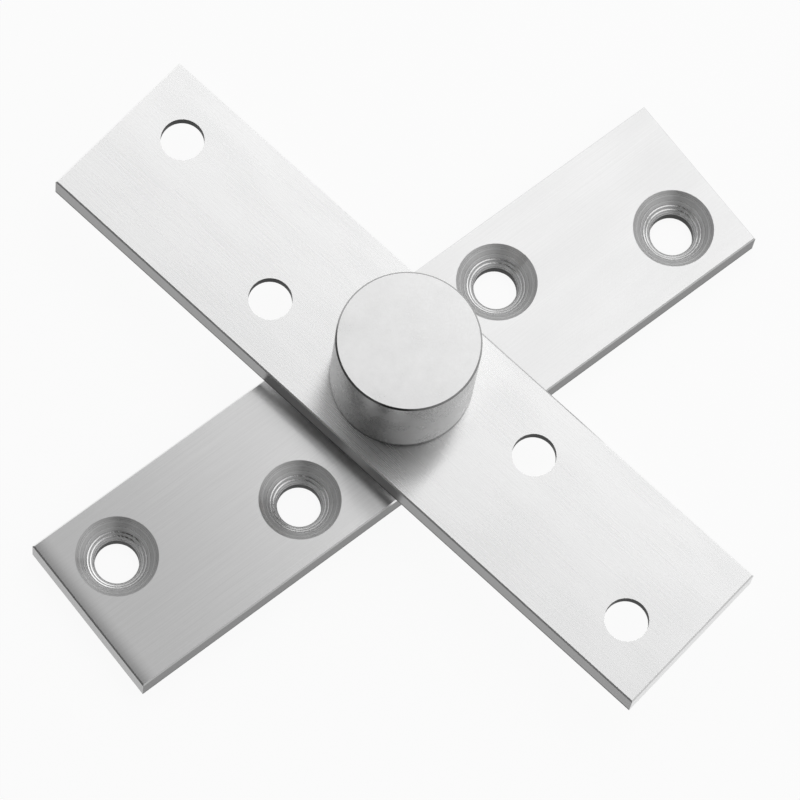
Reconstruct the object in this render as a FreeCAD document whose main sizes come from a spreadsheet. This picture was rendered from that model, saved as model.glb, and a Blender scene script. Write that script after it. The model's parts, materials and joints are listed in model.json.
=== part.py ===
import FreeCAD, Part
import os

import Sketcher

# A pivot hinge for a door: two flat leaves, one lying over the other, that turn about one upright pin.
# The pin is riveted into the lower leaf. The upper leaf carries a closed cup. In the cup the pin is
# guided by a plain bush and bears on a caged roller thrust bearing, which takes the weight of the door.
# Millimetres, +Z up along the pin's axis, +X along the pin leaf. The origin is on that axis at the
# underside of the pin leaf.

# Driving sizes: name, value, what it measures. Lengths in millimetres, angles in degrees.
SIZES = (
    ("leaf_length", 130, "length of each leaf"),
    ("leaf_thickness", 5, "thickness of each leaf"),
    ("leaf_side_land", 3, "leaf left on each side of the cup"),
    ("leaf_edge_break", 0.25, "chamfer round both faces of each leaf"),
    ("leaf_gap", 1.7, "gap between the leaves"),
    ("crossing_angle", 81, "turn from the pin leaf clockwise to the cup leaf, as the hinge lies open"),
    ("screw_hole_diameter", 7.4, "straight part of a screw hole"),
    ("countersink_width", 3.2, "radial width of a countersink's cone"),
    ("countersink_angle", 90, "full angle of a countersink's cone"),
    ("screw_end_margin", 3.1, "leaf left between an outer countersink and the leaf's end"),
    ("screw_side_margin", 2.9, "leaf left between a countersink and the leaf's long edge"),
    ("screw_cup_margin", 6.1, "leaf left along its length between an inner countersink and the cup"),
    ("cup_height", 18, "cup above its leaf"),
    ("cup_wall", 3, "side wall of the cup"),
    ("cup_roof", 3, "closed end of the cup"),
    ("cup_edge_break", 0.3, "chamfer round the top of the cup"),
    ("cup_shoulder", 1, "step by which the cup stands on its leaf"),
    ("cup_flare", 1, "cone by which the mouth of the cup is riveted into its leaf"),
    ("bearing_diameter", 18, "bore of the cup, which takes the bush and the thrust bearing"),
    ("roller_diameter", 2, "each roller"),
    ("roller_length", 3, "each roller, along its own axis"),
    ("roller_count", 11, "rollers in the cage"),
    ("roller_clearance", 0.02, "gap between a roller and each race"),
    ("race_thickness", 1.6, "each race"),
    ("race_land", 0.8, "track of a race beyond each end of the rollers"),
    ("race_clearance", 0.15, "gap between the lower race and the cup"),
    ("cage_face_clearance", 0.35, "gap between the cage and each race"),
    ("cage_rim_clearance", 0.25, "how far the cage stays inside the rims of the races"),
    ("pocket_clearance", 0.08, "gap between a roller and its pocket"),
    ("bush_wall", 3, "wall of the bush"),
    ("bush_lead", 0.4, "chamfer at both mouths of the bush"),
    ("running_clearance", 0.04, "gap between the pin and the bush"),
    ("end_play", 0.3, "gap between the collar and the bush"),
    ("collar_thickness", 2, "collar of the pin"),
    ("collar_clearance", 0.5, "gap between the collar and the cup"),
    ("nose_lead", 0.3, "chamfer at the top of the pin"),
    ("tail_shoulder", 1.4, "step by which the pin stands on its leaf"),
    ("tail_flare", 1.2, "cone by which the tail of the pin is riveted into its leaf"),
    ("washer_width", 4, "radial width of the spacer washer"),
    ("washer_clearance", 0.1, "gap between the washer and the pin"),
    ("washer_play", 0.2, "gap between the washer and the cup leaf"),
)

# Sizes and heights that follow from the driving ones and are shared by several pieces.
LEVELS = (
    ("bore_radius", "=sizes.bearing_diameter / 2", "inside of the cup"),
    ("cup_radius", "=bore_radius + sizes.cup_wall", "outside of the cup"),
    ("spigot_radius", "=cup_radius - sizes.cup_shoulder", "cup inside its leaf"),
    ("leaf_width", "=2 * (cup_radius + sizes.leaf_side_land)", "width of each leaf"),
    ("countersink_radius", "=sizes.screw_hole_diameter / 2 + sizes.countersink_width", "screw's mouth"),
    ("outer_reach", "=sizes.leaf_length / 2 - sizes.screw_end_margin - countersink_radius", "outer screw"),
    ("inner_reach", "=cup_radius + sizes.screw_cup_margin + countersink_radius", "inner screw"),
    ("screw_offset", "=leaf_width / 2 - sizes.screw_side_margin - countersink_radius", "screw off centre"),
    ("cup_leaf_base", "=sizes.leaf_thickness + sizes.leaf_gap", "underside of the cup leaf"),
    ("cup_length", "=sizes.leaf_thickness + sizes.cup_height", "cup from mouth to top"),
    ("roof_height", "=cup_leaf_base + cup_length - sizes.cup_roof", "underside of the cup's closed end"),
    ("race_width", "=sizes.roller_length + 2 * sizes.race_land", "race from bore to rim"),
    ("race_bore_radius", "=bore_radius - race_width", "bore of the races"),
    ("roller_reach", "=race_bore_radius + sizes.race_land", "axis to the near end of a roller"),
    ("race_gap", "=sizes.roller_diameter + 2 * sizes.roller_clearance", "between the races"),
    ("lower_race_base", "=roof_height - 2 * sizes.race_thickness - race_gap", "seat of the lower race"),
    ("roller_height", "=lower_race_base + sizes.race_thickness + race_gap / 2", "axes of the rollers"),
    ("cage_thickness", "=race_gap - 2 * sizes.cage_face_clearance", "cage"),
    ("bush_bore_radius", "=bore_radius - sizes.bush_wall", "bore of the bush"),
    ("journal_radius", "=bush_bore_radius - sizes.running_clearance", "pin inside the bush"),
    ("tail_radius", "=journal_radius - sizes.tail_shoulder", "pin inside its leaf"),
    ("collar_base", "=lower_race_base - sizes.collar_thickness", "underside of the collar"),
    ("bush_length", "=collar_base - sizes.end_play - cup_leaf_base", "bush, from the mouth of the cup"),
    ("nose_top", "=lower_race_base + sizes.race_thickness", "end of the pin, inside the lower race"),
    ("washer_thickness", "=sizes.leaf_gap - sizes.washer_play", "spacer washer"),
    ("washer_bore_radius", "=journal_radius + sizes.washer_clearance", "bore of the spacer washer"),
)

# How a sketch numbers the ends of an element, and its own two axes. The level axis is also the origin.
START, END, CENTRE = range(1, 4)
H_AXIS, V_AXIS = range(-1, -3, -1)
ORIGIN = H_AXIS

UP = FreeCAD.Vector(0, 0, 1)
FULL_TURN = 360
QUARTER_TURN = 90

doc = FreeCAD.newDocument("pivot_hinge")


def add_sheet(name, rows):
    """A sheet with one row for each size: what it measures, then its value under its own name."""
    sheet = doc.addObject("Spreadsheet::Sheet", name)
    for row, (alias, content, note) in enumerate(rows, start=1):
        sheet.set(f"A{row}", note)
        sheet.set(f"B{row}", str(content))
        sheet.setAlias(f"B{row}", alias)
    doc.recompute()
    return sheet


sizes = add_sheet("sizes", SIZES)
levels = add_sheet("levels", LEVELS)


def value(size):
    """The number that an expression of the sheets' sizes comes to."""
    return float(levels.evalExpression(size))


def add_body(label, height="0"):
    """An empty body that stands at a height above the origin."""
    body = doc.addObject("PartDesign::Body", label)
    body.setExpression("Placement.Base.z", height)
    return body


def origin_feature(body, role):
    return next(feature for feature in body.Origin.OriginFeatures if feature.Role == role)


def add_sketch(body, name, plane):
    sketch = body.newObject("Sketcher::SketchObject", name)
    sketch.AttachmentSupport = [(origin_feature(body, plane), "")]
    sketch.MapMode = "FlatFace"
    return sketch


def bind(sketch, constraint, size):
    """Add a dimension to a sketch and tie it to a size."""
    number = sketch.addConstraint(constraint)
    sketch.setExpression(f"Constraints[{number}]", size)


def place(sketch, element, vertex, across, up):
    """Fix a vertex by its signed distances from the sketch's origin."""
    for kind, axis, size in (("DistanceX", V_AXIS, across), ("DistanceY", H_AXIS, up)):
        distance = value(size)
        if distance == 0:
            sketch.addConstraint(Sketcher.Constraint("PointOnObject", element, vertex, axis))
            continue
        ends = (ORIGIN, START, element, vertex) if distance > 0 else (element, vertex, ORIGIN, START)
        bind(sketch, Sketcher.Constraint(kind, *ends, abs(distance)), f"abs({size})")


def add_circle(sketch, across, up, radius):
    centre = FreeCAD.Vector(value(across), value(up), 0)
    element = sketch.addGeometry(Part.Circle(centre, UP, value(radius)))
    place(sketch, element, CENTRE, across, up)
    bind(sketch, Sketcher.Constraint("Radius", element, value(radius)), radius)


def add_outline(sketch, corners):
    """A closed outline of straight sides through the corners."""
    points = [FreeCAD.Vector(value(across), value(up), 0) for across, up in corners]
    sides = [sketch.addGeometry(Part.LineSegment(*ends)) for ends in zip(points, points[1:] + points[:1])]
    for side, following in zip(sides, sides[1:] + sides[:1]):
        sketch.addConstraint(Sketcher.Constraint("Coincident", side, END, following, START))
    for side, corner in zip(sides, corners):
        place(sketch, side, START, *corner)


def turn(body, corners):
    """A piece turned on a lathe. A corner of its half section is a distance from the axis and a height."""
    section = add_sketch(body, "half_section", "XZ_Plane")
    add_outline(section, corners)
    turned = body.newObject("PartDesign::Revolution", "turned")
    turned.Profile = section
    turned.ReferenceAxis = (section, ["V_Axis"])
    turned.Angle = FULL_TURN
    doc.recompute()
    return body


def repeat_round(body, feature, copies):
    """Repeat a feature evenly round the body's own axis."""
    pattern = body.newObject("PartDesign::PolarPattern", "round_the_axis")
    pattern.Originals = [feature]
    pattern.Axis = (origin_feature(body, "Z_Axis"), [""])
    pattern.Angle = FULL_TURN
    pattern.setExpression("Occurrences", copies)
    body.Tip = pattern
    doc.recompute()


def level_edges(shape, curve_type):
    """The names of the level edges of one kind of curve, the lowest first."""
    found = []
    for number, edge in enumerate(shape.Edges, start=1):
        if edge.BoundBox.ZLength < Part.Precision.confusion() and isinstance(edge.Curve, curve_type):
            found.append((edge.BoundBox.ZMin, f"Edge{number}"))
    return [name for height, name in sorted(found)]


def chamfer(body, name, edges, size):
    base = body.Tip
    bevel = body.newObject("PartDesign::Chamfer", name)
    bevel.Base = (base, edges)
    bevel.setExpression("Size", size)
    doc.recompute()


def add_leaf(label, height, bore_radius, flare, screws_from_top):
    """A flat bar with a bore, flared at its lower face, and two rows of countersunk screws in a zigzag."""
    body = add_body(label, height)
    blank = add_sketch(body, "blank", "XY_Plane")
    half_length = "sizes.leaf_length / 2"
    half_width = "levels.leaf_width / 2"
    right, left = half_length, f"-{half_length}"
    far, near = half_width, f"-{half_width}"
    add_outline(blank, ((left, near), (left, far), (right, far), (right, near)))
    add_circle(blank, "0", "0", bore_radius)
    bar = body.newObject("PartDesign::Pad", "bar")
    bar.Profile = blank
    bar.setExpression("Length", "sizes.leaf_thickness")
    doc.recompute()

    chamfer(body, "broken_edges", level_edges(bar.Shape, Part.Line), "sizes.leaf_edge_break")
    chamfer(body, "bore_flare", level_edges(body.Tip.Shape, Part.Circle)[:1], flare)

    centres = add_sketch(body, "screw_centres", "XY_Plane")
    if screws_from_top:
        centres.setExpression("AttachmentOffset.Base.z", "sizes.leaf_thickness")
    for reach in ("-levels.outer_reach", "levels.inner_reach"):
        add_circle(centres, reach, "levels.screw_offset", "sizes.screw_hole_diameter / 2")
    doc.recompute()
    screws = body.newObject("PartDesign::Hole", "screw_holes")
    screws.Profile = centres
    screws.Reversed = not screws_from_top
    screws.DepthType = "ThroughAll"
    screws.HoleCutType = "Countersink"
    screws.HoleCutCustomValues = True
    screws.setExpression("Diameter", "sizes.screw_hole_diameter")
    screws.setExpression("HoleCutDiameter", "2 * levels.countersink_radius")
    screws.setExpression("HoleCutCountersinkAngle", "sizes.countersink_angle")
    doc.recompute()
    row_count = "2"
    repeat_round(body, screws, row_count)
    return body


def add_cup_leaf():
    """The upper leaf, which lies across the pin leaf with its screws driven from below."""
    body = add_leaf("cup_leaf", "levels.cup_leaf_base", "levels.spigot_radius", "sizes.cup_flare", False)
    body.Placement.Rotation = FreeCAD.Rotation(-UP, value("sizes.crossing_angle"))
    body.setExpression("Placement.Rotation.Angle", "sizes.crossing_angle")
    return body


def add_pin_leaf():
    """The lower leaf, which the pin is riveted into from below and whose screws are driven from above."""
    return add_leaf("pin_leaf", "0", "levels.tail_radius", "sizes.tail_flare", True)


def add_pivot_pin():
    """Riveted tail, shoulder on the leaf, journal in the bush, collar under the race, nose inside it."""
    nose = "levels.race_bore_radius"
    collar = "(levels.bore_radius - sizes.collar_clearance)"
    return turn(add_body("pivot_pin"), (
        ("0", "0"),
        ("0", "levels.nose_top"),
        (f"{nose} - sizes.nose_lead", "levels.nose_top"),
        (nose, "levels.nose_top - sizes.nose_lead"),
        (nose, "levels.lower_race_base"),
        (collar, "levels.lower_race_base"),
        (collar, "levels.collar_base"),
        ("levels.journal_radius", "levels.collar_base"),
        ("levels.journal_radius", "sizes.leaf_thickness"),
        ("levels.tail_radius", "sizes.leaf_thickness"),
        ("levels.tail_radius", "sizes.tail_flare"),
        ("levels.tail_radius + sizes.tail_flare", "0"),
    ))


def add_bearing_cup():
    """Closed at the top. Its shoulder stands on the cup leaf and its mouth is riveted into the bore."""
    inside = "levels.bore_radius"
    spigot = "levels.spigot_radius"
    outside = "levels.cup_radius"
    ceiling = "levels.cup_length - sizes.cup_roof"
    return turn(add_body("bearing_cup", "levels.cup_leaf_base"), (
        (inside, "0"),
        (inside, ceiling),
        ("0", ceiling),
        ("0", "levels.cup_length"),
        (f"{outside} - sizes.cup_edge_break", "levels.cup_length"),
        (outside, "levels.cup_length - sizes.cup_edge_break"),
        (outside, "sizes.leaf_thickness"),
        (spigot, "sizes.leaf_thickness"),
        (spigot, "sizes.cup_flare"),
        (f"{spigot} + sizes.cup_flare", "0"),
    ))


def add_sleeve_bush():
    """Pressed into the mouth of the cup, where it guides the pin and traps its collar."""
    inside = "levels.bush_bore_radius"
    mouth = f"{inside} + sizes.bush_lead"
    return turn(add_body("sleeve_bush", "levels.cup_leaf_base"), (
        (mouth, "0"),
        (inside, "sizes.bush_lead"),
        (inside, "levels.bush_length - sizes.bush_lead"),
        (mouth, "levels.bush_length"),
        ("levels.bore_radius", "levels.bush_length"),
        ("levels.bore_radius", "0"),
    ))


def add_spacer_washer():
    """Lies on the pin leaf round the pin and keeps the leaves apart."""
    inside = "levels.washer_bore_radius"
    outside = f"{inside} + sizes.washer_width"
    return turn(add_body("spacer_washer", "sizes.leaf_thickness"), (
        (inside, "0"),
        (inside, "levels.washer_thickness"),
        (outside, "levels.washer_thickness"),
        (outside, "0"),
    ))


def add_race(label, seat, rim):
    """A flat ring for the rollers to run on, with its lower face at the height of its seat."""
    return turn(add_body(label, seat), (
        ("levels.race_bore_radius", "0"),
        ("levels.race_bore_radius", "sizes.race_thickness"),
        (rim, "sizes.race_thickness"),
        (rim, "0"),
    ))


def add_lower_race():
    """Sits on the collar, round the nose of the pin, clear of the cup."""
    return add_race("lower_race", "levels.lower_race_base", "levels.bore_radius - sizes.race_clearance")


def add_upper_race():
    """Pressed into the cup against its roof."""
    return add_race("upper_race", "levels.roof_height - sizes.race_thickness", "levels.bore_radius")


def add_roller_cage():
    """A flat ring with a slot for each roller."""
    body = add_body("roller_cage", "levels.roller_height - levels.cage_thickness / 2")
    ring = add_sketch(body, "ring", "XY_Plane")
    add_circle(ring, "0", "0", "levels.bore_radius - sizes.cage_rim_clearance")
    add_circle(ring, "0", "0", "levels.race_bore_radius + sizes.cage_rim_clearance")
    disc = body.newObject("PartDesign::Pad", "disc")
    disc.Profile = ring
    disc.setExpression("Length", "levels.cage_thickness")
    doc.recompute()

    punch = add_sketch(body, "punch", "XY_Plane")
    near = "levels.roller_reach - sizes.pocket_clearance"
    far = "levels.roller_reach + sizes.roller_length + sizes.pocket_clearance"
    left = "(sizes.roller_diameter / 2 + sizes.pocket_clearance)"
    right = f"-{left}"
    add_outline(punch, ((near, right), (near, left), (far, left), (far, right)))
    pocket = body.newObject("PartDesign::Pocket", "pocket")
    pocket.Profile = punch
    pocket.Type = "ThroughAll"
    pocket.Reversed = True
    doc.recompute()
    repeat_round(body, pocket, "round(sizes.roller_count)")
    return body


def add_rollers():
    """The rollers, each lying along its own spoke in a pocket of the cage."""
    count = round(value("sizes.roller_count"))
    rollers = []
    for number in range(count):
        spoke = FULL_TURN * number / count
        roller = doc.addObject("Part::Cylinder", f"thrust_roller_{number + 1:02d}")
        roller.Placement.Rotation = FreeCAD.Rotation(spoke, QUARTER_TURN, 0)
        roller.setExpression("Radius", "sizes.roller_diameter / 2")
        roller.setExpression("Height", "sizes.roller_length")
        roller.setExpression("Placement.Base.x", f"levels.roller_reach * cos({spoke} deg)")
        roller.setExpression("Placement.Base.y", f"levels.roller_reach * sin({spoke} deg)")
        roller.setExpression("Placement.Base.z", "levels.roller_height")
        rollers.append(roller)
    return rollers


def check(pieces):
    """Stop unless every object was worked out and every piece is one sound solid."""
    doc.recompute()
    failed = [item.Label for item in doc.Objects if {"Invalid", "Error"} & set(item.State)]
    unsound = [
        piece.Label for piece in pieces
        if piece.Shape.isNull() or not piece.Shape.isValid() or len(piece.Shape.Solids) != 1
    ]
    if failed or unsound:
        raise RuntimeError(f"failed objects: {failed}, unsound pieces: {unsound}")


def write(pieces):
    os.makedirs("parts", exist_ok=True)
    for piece in pieces:
        piece.Shape.exportStep(os.path.join("parts", f"{piece.Label}.step"))


hinge = [
    add_pin_leaf(),
    add_pivot_pin(),
    add_spacer_washer(),
    add_cup_leaf(),
    add_bearing_cup(),
    add_sleeve_bush(),
    add_lower_race(),
    add_upper_race(),
    add_roller_cage(),
    *add_rollers(),
]
check(hinge)
write(hinge)
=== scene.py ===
import json
import math
from dataclasses import dataclass

import bmesh
import bpy
from mathutils import Matrix, Vector


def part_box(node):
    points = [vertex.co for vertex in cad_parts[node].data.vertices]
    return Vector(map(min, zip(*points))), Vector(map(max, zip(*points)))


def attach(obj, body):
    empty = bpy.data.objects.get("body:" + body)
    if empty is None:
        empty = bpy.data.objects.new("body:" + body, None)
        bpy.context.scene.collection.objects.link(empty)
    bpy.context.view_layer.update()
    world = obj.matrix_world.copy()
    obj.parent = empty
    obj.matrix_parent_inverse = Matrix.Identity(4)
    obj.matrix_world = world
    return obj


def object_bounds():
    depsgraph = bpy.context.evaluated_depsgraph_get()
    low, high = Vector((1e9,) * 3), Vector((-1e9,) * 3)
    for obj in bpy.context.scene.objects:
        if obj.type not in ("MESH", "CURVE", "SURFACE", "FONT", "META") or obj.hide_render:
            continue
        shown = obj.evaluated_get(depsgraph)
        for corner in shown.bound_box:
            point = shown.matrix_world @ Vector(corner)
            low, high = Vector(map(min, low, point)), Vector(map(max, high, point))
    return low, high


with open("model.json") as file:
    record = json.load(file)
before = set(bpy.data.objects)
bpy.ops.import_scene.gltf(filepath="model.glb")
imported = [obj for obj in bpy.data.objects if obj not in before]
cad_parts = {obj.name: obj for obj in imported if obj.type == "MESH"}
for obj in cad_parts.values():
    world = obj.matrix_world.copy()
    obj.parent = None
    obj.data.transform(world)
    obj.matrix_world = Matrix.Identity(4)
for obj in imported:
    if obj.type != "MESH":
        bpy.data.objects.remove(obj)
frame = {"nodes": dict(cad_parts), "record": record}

cad_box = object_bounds()

MM = 0.001
UP = Vector((0, 0, 1))

# The photograph looks down on the hinge from a long way off, with the picture turned a little.
FRAME_PIXELS = 800
FOCAL_PIXELS = 5319
SENSOR_MM = 36
DISTANCE = 880 * MM
ELEVATION = math.radians(70.84)
HEADING = math.radians(48.88)
ROLL = math.radians(-11.3)
AIM_RIGHT = 0.45 * MM
AIM_DOWN = 3.82 * MM

# Level directions, away from the camera and to its right.
AWAY = Vector((math.sin(HEADING), math.cos(HEADING), 0))
RIGHT = AWAY.cross(UP)

# Both leaves are the same bar. The pin leaf lies along X, and the cup leaf towards its near screws.
HALF_LENGTH, HALF_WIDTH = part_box("pin_leaf")[1].xy
PIN_LEAF_ANGLE = 0.0
near_screws = next(m["pos_m"] for m in frame["record"]["mounts"] if m["name"] == "cup_leaf_screws_near")
CUP_LEAF_ANGLE = math.atan2(near_screws[1], near_screws[0])

# A leaf's edges lie within this reach of its outline, and its brushing rounds an end over for this far.
EDGE_REACH = 1 * MM
END_ROLL = 3 * MM

# The leaves' steel: greys as (in the marks, between them), as shares of a finish's own grey or as they are.
FACE_SHARES = (0.95, 1.04)
SIDE_MARK_SHARE = 0.78
END_MARK_SHARE = 0.9
CONE_GREYS = (0.58, 0.82)
# The bores are painted nearly black, as the shade inside the holes.
BORE_SHADE_GREYS = (0.02, 0.06)
# The lower corners are painted dark as shade.
LOWER_CORNER_SHADE_GREY = 0.3
LONG_LINE_SHARE = 0.4
LINE_DEPTH = 0.007 * MM
CUT_DEPTH = 0.014 * MM
CUT_WOBBLE = 0.12 * MM
BRUSHED_ANISOTROPY = 1.0

# The cup's satin, and how far turned rings wander on the pieces that keep them.
CUP_TOP_GREYS = (0.65, 0.80)
# The side is painted darker than the top, as shade.
CUP_SIDE_SHADE_GREYS = (0.45, 0.54)
# The cut corner round the top is painted dark as a shaded rim line.
CUP_CORNER_SHADE_GREY = 0.4
CUP_CORNER_ROUGHNESS = 0.12
LEVEL_MARK_SHARE = 0.25
SATIN_DEPTH = 0.006 * MM
SATIN_ANISOTROPY = 0.7
RING_WANDER = 0.05 * MM

# The foot of the leaves' long sides and of the cup is painted dark as contact shade, which fades out between
# these heights.
FOOT_SHADE_GREY = 0.10
LEAF_FOOT_SHADE_FADE = (0.4 * MM, 1.0 * MM)
CUP_FOOT_SHADE_FADE = (0.3 * MM, 0.9 * MM)

# The countersinks: a cone at 45 degrees with two steps that the cutter left in it.
CONE_RADIUS = 6.9 * MM
STEP_RADII = (4.95 * MM, 4.45 * MM)
STEP_WIDTH = 0.22 * MM
STEP_SLOPE = 0.27
STEP_BURIED = 0.1 * MM
STEP_SEGMENTS = 96
STEP_SHARP_ANGLE = math.radians(30)

# The leaves mirror a large softbox, on the far side of the cup leaf, that reaches just past the mirrored
# pivot. A small one hangs to the right.
LAMP_HEIGHT = 400 * MM
KEY_SIDE = Vector((-math.sin(CUP_LEAF_ANGLE), math.cos(CUP_LEAF_ANGLE), 0))
KEY_WIDTH = 370 * MM
KEY_DEPTH = 400 * MM
KEY_PAST_PIVOT = 22 * MM
KEY_RADIANCE = 0.90
SIDE_PLACE = RIGHT * (200 * MM) + AWAY * (20 * MM)
SIDE_SIZE = 200 * MM
SIDE_RADIANCE = 0.6

# The middles of the room's bright side, of its dim part round the camera and of its dark part low in front.
BRIGHT_SIDE = (AWAY + RIGHT + UP).normalized()
DIM_CORNER = (AWAY * -0.40 + RIGHT * -0.14 + UP * 0.88).normalized()
DARK_FRONT = (AWAY * -0.98 + UP * 0.2).normalized()

# The floor lies just clear of the hinge, so that no two faces share a level.
FLOOR_GAP = 0.02 * MM
FLOOR_REACH = 3.0
FLOOR_PAINT = 0.9
FLOOR_WHITE_SHARE = 0.93


# A leaf's greys carry painted light and shade: long sides are set darker than faces, and each leaf gets greys
# for how light falls on it.
@dataclass
class LeafFinish:
    """How a leaf looks: the greys of its faces, long sides, ends and upper corners, and its brushing.

    The angle is the way that the leaf lies. The brushing rounds its end at low X over, to the end slope.
    """

    angle: float
    face: float
    side: float
    end: float
    corner: float
    roughness: float
    end_slope: float


@dataclass
class TurnedFinish:
    """How a turned piece looks: colour and roughness in its grooves and on its ridges, and its rings."""

    groove_colour: tuple
    ridge_colour: tuple
    groove_roughness: float
    ridge_roughness: float
    rings_per_mm: float
    depth: float
    anisotropy: float


def grey(level):
    return (level, level, level, 1)


class Nodes:
    """Adds nodes to one tree. An input is a number, a vector or a colour, or a socket to link."""

    def __init__(self, owner):
        owner.use_nodes = True
        self.tree = owner.node_tree
        self.tree.nodes.clear()

    def add(self, kind, inputs, **settings):
        node = self.tree.nodes.new(f"ShaderNode{kind}")
        for name, setting in settings.items():
            setattr(node, name, setting)
        sockets = {socket.identifier: socket for socket in node.inputs}
        for name, source in inputs.items():
            if isinstance(source, bpy.types.NodeSocket):
                self.tree.links.new(source, sockets[name])
            else:
                sockets[name].default_value = source
        return node

    def math(self, operation, a, b=0.0):
        return self.add("Math", {"Value": a, "Value_001": b}, operation=operation).outputs["Value"]

    def near(self, source, target, reach):
        """One where the source is within reach of the target, and zero elsewhere."""
        inputs = {"Value": source, "Value_001": target, "Value_002": reach}
        return self.add("Math", inputs, operation="COMPARE").outputs["Value"]

    def beyond(self, source, limit):
        """One where the source is further from zero than the limit, and zero elsewhere."""
        return self.math("GREATER_THAN", self.math("ABSOLUTE", source), limit)

    def vector_math(self, operation, a, b, output="Vector"):
        node = self.add("VectorMath", {"Vector": a, "Vector_001": b}, operation=operation)
        return node.outputs[output]

    def cross(self, a, b):
        return self.vector_math("CROSS_PRODUCT", a, b)

    def dot(self, a, b):
        return self.vector_math("DOT_PRODUCT", a, b, "Value")

    def ramp(self, source, low, high, at_low=0.0, at_high=1.0):
        """A smooth step from one value to another as the source goes from low to high."""
        ends = {"From Min": low, "From Max": high, "To Min": at_low, "To Max": at_high}
        node = self.add("MapRange", {"Value": source, **ends}, interpolation_type="SMOOTHSTEP")
        return node.outputs["Result"]

    def noise(self, vector, per_mm, detail):
        node = self.add("TexNoise", {"Vector": vector, "Scale": per_mm / MM, "Detail": detail})
        return node.outputs["Fac"]

    def contrast(self, noise, at_low=0.0, at_high=1.0):
        """A ramp over the range that most of a noise lies in, so that its marks stand out."""
        return self.ramp(noise, low=0.3, high=0.7, at_low=at_low, at_high=at_high)

    def mix(self, kind, share, a, b):
        sockets = {"FLOAT": "Float", "VECTOR": "Vector", "RGBA": "Color"}
        suffix = sockets[kind]
        inputs = {"Factor_Float": share, f"A_{suffix}": a, f"B_{suffix}": b}
        node = self.add("Mix", inputs, data_type=kind)
        return next(socket for socket in node.outputs if socket.identifier == f"Result_{suffix}")

    def number(self, share, a, b):
        return self.mix("FLOAT", share, a, b)

    def vector(self, share, a, b):
        return self.mix("VECTOR", share, a, b)

    def colour(self, share, a, b):
        return self.mix("RGBA", share, a, b)

    def greys(self, share, low, high):
        return self.colour(share, grey(low), grey(high))

    def split(self, vector):
        node = self.add("SeparateXYZ", {"Vector": vector})
        return node.outputs["X"], node.outputs["Y"], node.outputs["Z"]

    def join(self, x, y, z):
        return self.add("CombineXYZ", {"X": x, "Y": y, "Z": z}).outputs["Vector"]


def add_metal(surface, colour, roughness, height, lines_across, anisotropy):
    """Ends a metal's tree. The height is in metres, and the fine lines run square to lines_across."""
    tangent = surface.add(
        "VectorTransform", {"Vector": lines_across},
        vector_type="VECTOR", convert_from="OBJECT", convert_to="WORLD",
    )
    bump = surface.add("Bump", {"Strength": 1.0, "Distance": 1.0, "Height": height})
    metal = surface.add("BsdfPrincipled", {
        "Base Color": colour,
        "Metallic": 1.0,
        "Roughness": roughness,
        "Anisotropic": anisotropy,
        "Tangent": tangent.outputs["Vector"],
        "Normal": bump.outputs["Normal"],
    })
    surface.add("OutputMaterial", {"Surface": metal.outputs["BSDF"]})


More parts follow.
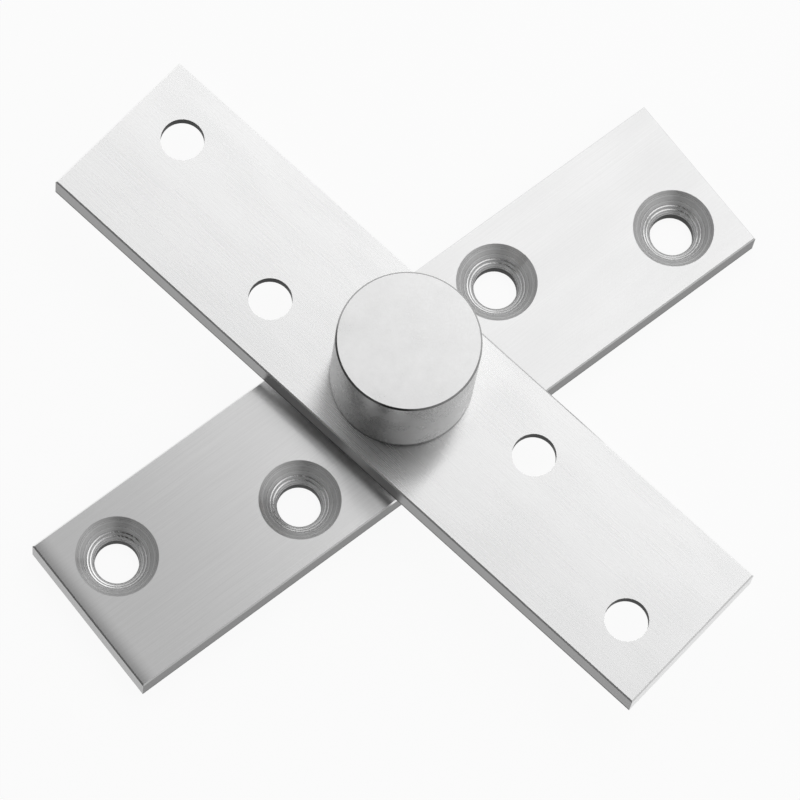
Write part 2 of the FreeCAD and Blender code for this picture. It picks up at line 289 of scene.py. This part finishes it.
class LeafSteel(Nodes):
    """Flat bar brushed along its length, with sheared edges and drilled, countersunk holes.

    X runs along the leaf. The masks flat, upright, upper, end and outer are one on such faces, else zero.
    """

    def __init__(self, leaf, finish):
        self.material = bpy.data.materials.new(f"brushed_{leaf}")
        super().__init__(self.material)
        self.finish = finish
        self.along = Vector((math.cos(finish.angle), math.sin(finish.angle), 0))
        place = self.add("TexCoord", {})
        self.normal = place.outputs["Normal"]
        turned_back = {"Vector": place.outputs["Object"], "Rotation": (0, 0, -finish.angle)}
        self.point = self.add("Mapping", turned_back).outputs["Vector"]
        self.x, y, z = self.split(self.point)
        self.above_foot = self.math("SUBTRACT", z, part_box(leaf)[0].z)

        # Faces are told apart by the way they look, and outer ones from holes by how far out they lie.
        facing_up = self.split(self.normal)[2]
        lean = self.math("ABSOLUTE", facing_up)
        self.flat = self.ramp(lean, low=0.85, high=0.95)
        self.upright = self.ramp(lean, low=0.45, high=0.35)
        self.upper = self.math("GREATER_THAN", facing_up, 0.0)
        self.end = self.beyond(self.dot(self.normal, self.along), limit=0.5)
        past_end = self.beyond(self.x, HALF_LENGTH - EDGE_REACH)
        past_side = self.beyond(y, HALF_WIDTH - EDGE_REACH)
        self.outer = self.math("MAXIMUM", past_end, past_side)

        # Brushing: short fine lines, longer faint ones, and slow patches where the belt pressed harder.
        fine = self.drawn_noise(along=0.02, per_mm=5.2, detail=3.0)
        long = self.drawn_noise(along=0.006, per_mm=2.3, detail=2.0)
        self.lines = self.number(LONG_LINE_SHARE, fine, long)
        self.patch = self.drawn_noise(along=0.4, per_mm=0.14, detail=3.0)

        # Cutter marks lie level: rings round the cones and bores, and lines along the sheared edges.
        wobble = self.math("MULTIPLY", self.noise(self.point, per_mm=0.16, detail=2.0), CUT_WOBBLE)
        level = self.join(self.math("ADD", wobble, z), 0.0, 0.0)
        self.rings = self.noise(level, per_mm=5.2, detail=3.0)

    def drawn_noise(self, along, per_mm, detail):
        """Noise drawn out along the leaf, where it changes at the given share of its rate across."""
        return self.noise(self.vector_math("MULTIPLY", self.point, (along, 1, 1)), per_mm, detail)

    def tone(self):
        """Bright brushed faces; darker cut ones, nearly black bores, dark lower corners and a dark foot along
        the sides, all painted shade.
        """
        finish = self.finish
        ridge = self.contrast(self.rings)
        pressed = self.ramp(self.patch, low=0.35, high=0.7, at_high=0.3)
        line, plain = (share * finish.face for share in FACE_SHARES)
        brushed = self.greys(self.contrast(self.lines), line, plain)
        brushed = self.colour(pressed, brushed, grey(plain))
        cone = self.greys(ridge, *CONE_GREYS)
        # Bores painted nearly black as shade.
        bore_shade = self.greys(ridge, *BORE_SHADE_GREYS)
        # The long sides are painted darker than the faces, as shade.
        side = self.greys(ridge, SIDE_MARK_SHARE * finish.side, finish.side)
        # The foot of each long side is painted dark as contact shade.
        side = self.colour(self.ramp(self.above_foot, *LEAF_FOOT_SHADE_FADE), grey(FOOT_SHADE_GREY), side)
        # The ends take each leaf's own grey, painted light on the cup leaf and painted shade on the pin leaf.
        end = self.greys(ridge, END_MARK_SHARE * finish.end, finish.end)
        # Lower corners take a dark grey as painted shade; upper ones take the leaf's corner grey.
        corner = self.greys(self.upper, LOWER_CORNER_SHADE_GREY, finish.corner)
        sloped = self.colour(self.outer, cone, corner)
        wall = self.colour(self.outer, bore_shade, self.colour(self.end, side, end))
        return self.colour(self.flat, self.colour(self.upright, sloped, wall), brushed)

    def roughness(self):
        smooth = self.finish.roughness
        worn = self.contrast(self.patch, at_low=-0.012, at_high=0.012)
        brushed = self.ramp(self.lines, low=0.25, high=0.75, at_low=smooth, at_high=smooth + 0.05)
        drilled = self.contrast(self.rings, at_low=0.24, at_high=0.42)
        sheared = self.ramp(self.upright, low=0.0, high=1.0, at_low=0.1, at_high=0.3)
        cut = self.number(self.outer, drilled, sheared)
        return self.number(self.flat, cut, self.math("ADD", brushed, worn))

    def height(self):
        """The brushing on the flat faces, which drop towards the rounded end, and cutter marks elsewhere."""
        from_end = self.math("ADD", self.x, HALF_LENGTH)
        into_roll = self.math("MAXIMUM", self.math("SUBTRACT", END_ROLL, from_end), 0.0)
        steepening = self.finish.end_slope / (2 * END_ROLL)
        drop = self.math("MULTIPLY", self.math("POWER", into_roll, 2.0), steepening)
        brushed = self.math("SUBTRACT", self.math("MULTIPLY", self.lines, LINE_DEPTH), drop)
        cut = self.math("MULTIPLY", self.rings, CUT_DEPTH)
        return self.number(self.flat, cut, brushed)

    def lines_across(self):
        down_slope = self.cross(self.normal, self.cross(self.normal, UP))
        return self.vector(self.flat, down_slope, UP.cross(self.along))


def leaf_material(leaf, finish):
    steel = LeafSteel(leaf, finish)
    add_metal(
        steel, steel.tone(), steel.roughness(), steel.height(), steel.lines_across(), BRUSHED_ANISOTROPY,
    )
    return steel.material


def turned_material(name, finish):
    """Metal turned on a lathe: rings about the Z axis, by radius on its faces and by level on its sides."""
    material = bpy.data.materials.new(name)
    surface = Nodes(material)
    place = surface.add("TexCoord", {})
    point = place.outputs["Object"]
    x, y, z = surface.split(point)
    squares = surface.math("ADD", surface.math("POWER", x, 2.0), surface.math("POWER", y, 2.0))
    wander = surface.math("MULTIPLY", surface.noise(point, per_mm=0.22, detail=2.0), RING_WANDER)
    radius = surface.math("ADD", surface.math("SQRT", squares), wander)
    level = surface.math("ADD", z, wander)
    rings = surface.noise(surface.join(radius, level, 0.0), finish.rings_per_mm, detail=3.0)
    patch = surface.noise(point, per_mm=0.13, detail=3.0)

    colour = surface.colour(surface.contrast(rings), finish.groove_colour, finish.ridge_colour)
    rubbed = surface.ramp(patch, low=0.35, high=0.75, at_high=0.35)
    colour = surface.colour(rubbed, colour, finish.ridge_colour)
    worn = surface.contrast(patch, at_low=-0.03, at_high=0.03)
    roughness = surface.contrast(rings, finish.groove_roughness, finish.ridge_roughness)
    roughness = surface.math("ADD", roughness, worn)
    height = surface.math("MULTIPLY", rings, finish.depth)
    lines_across = surface.cross(place.outputs["Normal"], surface.cross(UP, point))
    add_metal(surface, colour, roughness, height, lines_across, finish.anisotropy)
    return material


def satin_material(name):
    """The cup: turned, then tumbled to an even satin, clouded and finely grained."""
    material = bpy.data.materials.new(name)
    surface = Nodes(material)
    place = surface.add("TexCoord", {})
    point = place.outputs["Object"]
    z = surface.split(point)[2]
    lean = surface.math("ABSOLUTE", surface.split(place.outputs["Normal"])[2])
    on_top = surface.ramp(lean, low=0.3, high=0.6)
    corner = surface.near(lean, target=math.sqrt(0.5), reach=0.2)
    cloud = surface.noise(point, per_mm=0.22, detail=4.0)
    grain = surface.noise(point, per_mm=3.0, detail=2.0)
    level = surface.noise(surface.join(z, 0.0, 0.0), per_mm=2.4, detail=3.0)
    marks = surface.number(LEVEL_MARK_SHARE, grain, level)

    # The side is painted darker than the top as shade, and the cut corner round it is painted dark as a
    # shaded rim line. The cup's foot is painted dark as contact shade where it meets the leaf.
    top = surface.greys(surface.contrast(cloud), *CUP_TOP_GREYS)
    top = surface.colour(surface.contrast(marks, at_high=0.4), top, grey(CUP_TOP_GREYS[1]))
    side = surface.greys(surface.contrast(cloud), *CUP_SIDE_SHADE_GREYS)
    colour = surface.colour(corner, surface.colour(on_top, side, top), grey(CUP_CORNER_SHADE_GREY))
    above_leaf = surface.math("SUBTRACT", z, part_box("cup_leaf")[1].z)
    colour = surface.colour(surface.ramp(above_leaf, *CUP_FOOT_SHADE_FADE), grey(FOOT_SHADE_GREY), colour)

    worn = surface.contrast(cloud, at_low=-0.04, at_high=0.04)
    rough_top = surface.contrast(marks, at_low=0.30, at_high=0.38)
    rough_side = surface.contrast(marks, at_low=0.26, at_high=0.32)
    roughness = surface.math("ADD", surface.number(on_top, rough_side, rough_top), worn)
    roughness = surface.number(corner, roughness, CUP_CORNER_ROUGHNESS)

    # The finest lines run up the side and straight over the top.
    lines_across = surface.vector(on_top, surface.cross(UP, point), RIGHT)
    height = surface.math("MULTIPLY", marks, SATIN_DEPTH)
    add_metal(surface, colour, roughness, height, lines_across, SATIN_ANISOTROPY)
    return material


def floor_material(name):
    """White paint that stays nearly white where it is seen or mirrored, and keeps a faint shadow."""
    material = bpy.data.materials.new(name)
    surface = Nodes(material)
    path = surface.add("LightPath", {})
    seen = surface.math("MAXIMUM", path.outputs["Is Camera Ray"], path.outputs["Is Glossy Ray"])
    seen = surface.math("MAXIMUM", seen, path.outputs["Is Transmission Ray"])
    share = surface.math("MULTIPLY", seen, FLOOR_WHITE_SHARE)
    paint = surface.add("BsdfDiffuse", {"Color": grey(FLOOR_PAINT)}).outputs["BSDF"]
    white = surface.add("Emission", {"Color": grey(1.0), "Strength": 1.0}).outputs["Emission"]
    both = surface.add("MixShader", {"Fac": share, "Shader": paint, "Shader_001": white})
    surface.add("OutputMaterial", {"Surface": both.outputs["Shader"]})
    return material


def dress(piece, material):
    piece.data.materials.clear()
    piece.data.materials.append(material)


def hole_places(leaf):
    """The middles of a leaf's screw holes, from the openings that the record keeps clear."""
    places = []
    for opening in frame["record"]["physics"]["openings"]:
        if opening["name"].startswith(leaf):
            low, high = (Vector(corner) for corner in opening["box_m"])
            places.append((low + high) / 2)
    return places


def step_section(radius):
    """One step's section as (radius, depth below the face): its top, its lip, its foot and a buried point."""
    top_depth = CONE_RADIUS - radius
    lip_radius = radius - STEP_WIDTH
    foot_depth = CONE_RADIUS - lip_radius
    return [
        (radius, top_depth),
        (lip_radius, top_depth + STEP_WIDTH * STEP_SLOPE),
        (lip_radius, foot_depth),
        (radius + STEP_BURIED, foot_depth),
    ]


def add_step(shape, middle, inward, step_radius):
    """One step round a hole. The middle is at the level of the face that the countersink opens in."""
    rounds = []
    for turn in range(STEP_SEGMENTS):
        angle = 2 * math.pi * turn / STEP_SEGMENTS
        out = Vector((math.cos(angle), math.sin(angle), 0))
        section = [middle + out * radius + inward * depth for radius, depth in step_section(step_radius)]
        rounds.append([shape.verts.new(corner) for corner in section])
    for here, there in zip(rounds, rounds[1:] + rounds[:1]):
        for side in range(len(here)):
            shape.faces.new((here[side - 1], there[side - 1], there[side], here[side]))


def add_steps(leaf, body, face, inward, material):
    """The steps in a leaf's countersinks, which run inward from the level of the face."""
    shape = bmesh.new()
    for place in hole_places(leaf):
        for step_radius in STEP_RADII:
            add_step(shape, Vector((place.x, place.y, face)), inward, step_radius)
    bmesh.ops.recalc_face_normals(shape, faces=shape.faces)
    data = bpy.data.meshes.new(f"{leaf}_countersink_steps")
    shape.to_mesh(data)
    shape.free()
    data.shade_smooth()
    data.set_sharp_from_angle(angle=STEP_SHARP_ANGLE)
    steps = bpy.data.objects.new(data.name, data)
    bpy.context.scene.collection.objects.link(steps)
    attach(steps, body)
    dress(steps, material)


def add_camera():
    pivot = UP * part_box("cup_leaf")[1].z
    up_picture = AWAY * math.sin(ELEVATION) + UP * math.cos(ELEVATION)
    inward = AWAY * math.cos(ELEVATION) - UP * math.sin(ELEVATION)
    aim = pivot + RIGHT * AIM_RIGHT - up_picture * AIM_DOWN
    side = RIGHT * math.cos(ROLL) - up_picture * math.sin(ROLL)
    top = RIGHT * math.sin(ROLL) + up_picture * math.cos(ROLL)
    data = bpy.data.cameras.new("photo_view")
    data.sensor_width = SENSOR_MM
    data.lens = FOCAL_PIXELS / FRAME_PIXELS * SENSOR_MM
    camera = bpy.data.objects.new("photo_view", data)
    facing = Matrix((side, top, -inward)).transposed().to_4x4()
    camera.matrix_world = Matrix.Translation(aim - inward * DISTANCE) @ facing
    bpy.context.scene.collection.objects.link(camera)
    bpy.context.scene.camera = camera


def add_softbox(name, middle, width, depth, radiance):
    """A level softbox overhead, its depth towards the key side."""
    data = bpy.data.lights.new(name, "AREA")
    data.shape = "RECTANGLE"
    data.size = width
    data.size_y = depth
    data.energy = radiance * math.pi * width * depth
    lamp = bpy.data.objects.new(name, data)
    facing = Matrix((KEY_SIDE.cross(UP), KEY_SIDE, UP)).transposed().to_4x4()
    lamp.matrix_world = Matrix.Translation(middle) @ facing
    bpy.context.scene.collection.objects.link(lamp)


def add_lamps():
    overhead = UP * LAMP_HEIGHT
    mirrored_pivot = AWAY * LAMP_HEIGHT / math.tan(ELEVATION) + overhead
    key_place = mirrored_pivot + KEY_SIDE * (KEY_DEPTH / 2 - KEY_PAST_PIVOT)
    add_softbox("softbox", key_place, KEY_WIDTH, KEY_DEPTH, KEY_RADIANCE)
    add_softbox("side_softbox", SIDE_PLACE + overhead, SIDE_SIZE, SIDE_SIZE, SIDE_RADIANCE)


def add_world():
    """A plain room with one bright side, a dim part and a dark part, and panels half-way up its walls."""
    world = bpy.data.worlds.new("studio")
    bpy.context.scene.world = world
    room = Nodes(world)
    direction = room.add("TexCoord", {}).outputs["Generated"]
    rise = room.dot(direction, UP)
    wall = room.ramp(room.dot(direction, BRIGHT_SIDE), low=-0.5, high=0.7, at_low=0.09, at_high=0.60)
    dim = room.ramp(room.dot(direction, DIM_CORNER), low=0.87, high=0.965, at_low=1.0, at_high=0.04)
    dark = room.ramp(room.dot(direction, DARK_FRONT), low=0.92, high=0.985, at_low=1.0, at_high=0.2)
    panel_foot = room.ramp(rise, low=0.25, high=0.45, at_low=0.0, at_high=0.5)
    panel_top = room.ramp(rise, low=0.55, high=0.8, at_low=1.0, at_high=0.0)
    panels = room.math("MULTIPLY", panel_foot, panel_top)
    walls = room.math("MAXIMUM", room.math("MULTIPLY", wall, dim), panels)
    strength = room.math("MULTIPLY", walls, dark)
    light = room.add("Background", {"Color": grey(1.0), "Strength": strength})
    room.add("OutputWorld", {"Surface": light.outputs["Background"]})


def add_floor():
    level = cad_box[0][2] - FLOOR_GAP
    around = ((-1, -1), (1, -1), (1, 1), (-1, 1))
    corners = [(x * FLOOR_REACH, y * FLOOR_REACH, level) for x, y in around]
    data = bpy.data.meshes.new("floor")
    data.from_pydata(corners, [], [range(len(corners))])
    floor = bpy.data.objects.new("floor", data)
    bpy.context.scene.collection.objects.link(floor)
    dress(floor, floor_material("floor_white"))


# The two leaves are one steel. Their greys differ as painted light and shade: the cup leaf's lighter all
# round, the pin leaf's darker.
pin_leaf_finish = LeafFinish(
    angle=PIN_LEAF_ANGLE, face=0.83, side=0.27, end=0.55, corner=0.85, roughness=0.33, end_slope=0.2,
)
cup_leaf_finish = LeafFinish(
    angle=CUP_LEAF_ANGLE, face=0.91, side=0.42, end=0.85, corner=0.95, roughness=0.24, end_slope=0.0,
)
pin_finish = TurnedFinish(
    groove_colour=grey(0.52), ridge_colour=grey(0.68), groove_roughness=0.22, ridge_roughness=0.34,
    rings_per_mm=4.0, depth=0.006 * MM, anisotropy=0.3,
)
bronze_finish = TurnedFinish(
    groove_colour=(0.44, 0.25, 0.10, 1), ridge_colour=(0.62, 0.40, 0.19, 1),
    groove_roughness=0.26, ridge_roughness=0.40, rings_per_mm=4.0, depth=0.006 * MM, anisotropy=0.3,
)
brass_finish = TurnedFinish(
    groove_colour=(0.58, 0.42, 0.16, 1), ridge_colour=(0.74, 0.57, 0.26, 1),
    groove_roughness=0.22, ridge_roughness=0.36, rings_per_mm=2.5, depth=0.004 * MM, anisotropy=0.2,
)
ground_finish = TurnedFinish(
    groove_colour=grey(0.62), ridge_colour=grey(0.74), groove_roughness=0.12, ridge_roughness=0.22,
    rings_per_mm=7.0, depth=0.002 * MM, anisotropy=0.2,
)
cut_finish = TurnedFinish(
    groove_colour=grey(0.62), ridge_colour=grey(0.80), groove_roughness=0.16, ridge_roughness=0.30,
    rings_per_mm=4.0, depth=0.004 * MM, anisotropy=0.0,
)

nodes = frame["nodes"]
dress(nodes["pin_leaf"], leaf_material("pin_leaf", pin_leaf_finish))
dress(nodes["cup_leaf"], leaf_material("cup_leaf", cup_leaf_finish))
dress(nodes["bearing_cup"], satin_material("satin_cup"))
dress(nodes["pivot_pin"], turned_material("turned_pin", pin_finish))
dress(nodes["roller_cage"], turned_material("cage_brass", brass_finish))
bronze = turned_material("bearing_bronze", bronze_finish)
dress(nodes["sleeve_bush"], bronze)
dress(nodes["spacer_washer"], bronze)
ground_steel = turned_material("ground_steel", ground_finish)
for name, node in nodes.items():
    if name.startswith("thrust_roller") or name.endswith("race"):
        dress(node, ground_steel)

cut_steel = turned_material("cut_steel", cut_finish)
add_steps("pin_leaf", "pin_side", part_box("pin_leaf")[1].z, -UP, cut_steel)
add_steps("cup_leaf", "cup_side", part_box("cup_leaf")[0].z, UP, cut_steel)

add_camera()
add_lamps()
add_world()
add_floor()
bpy.context.scene.view_settings.view_transform = "Standard"
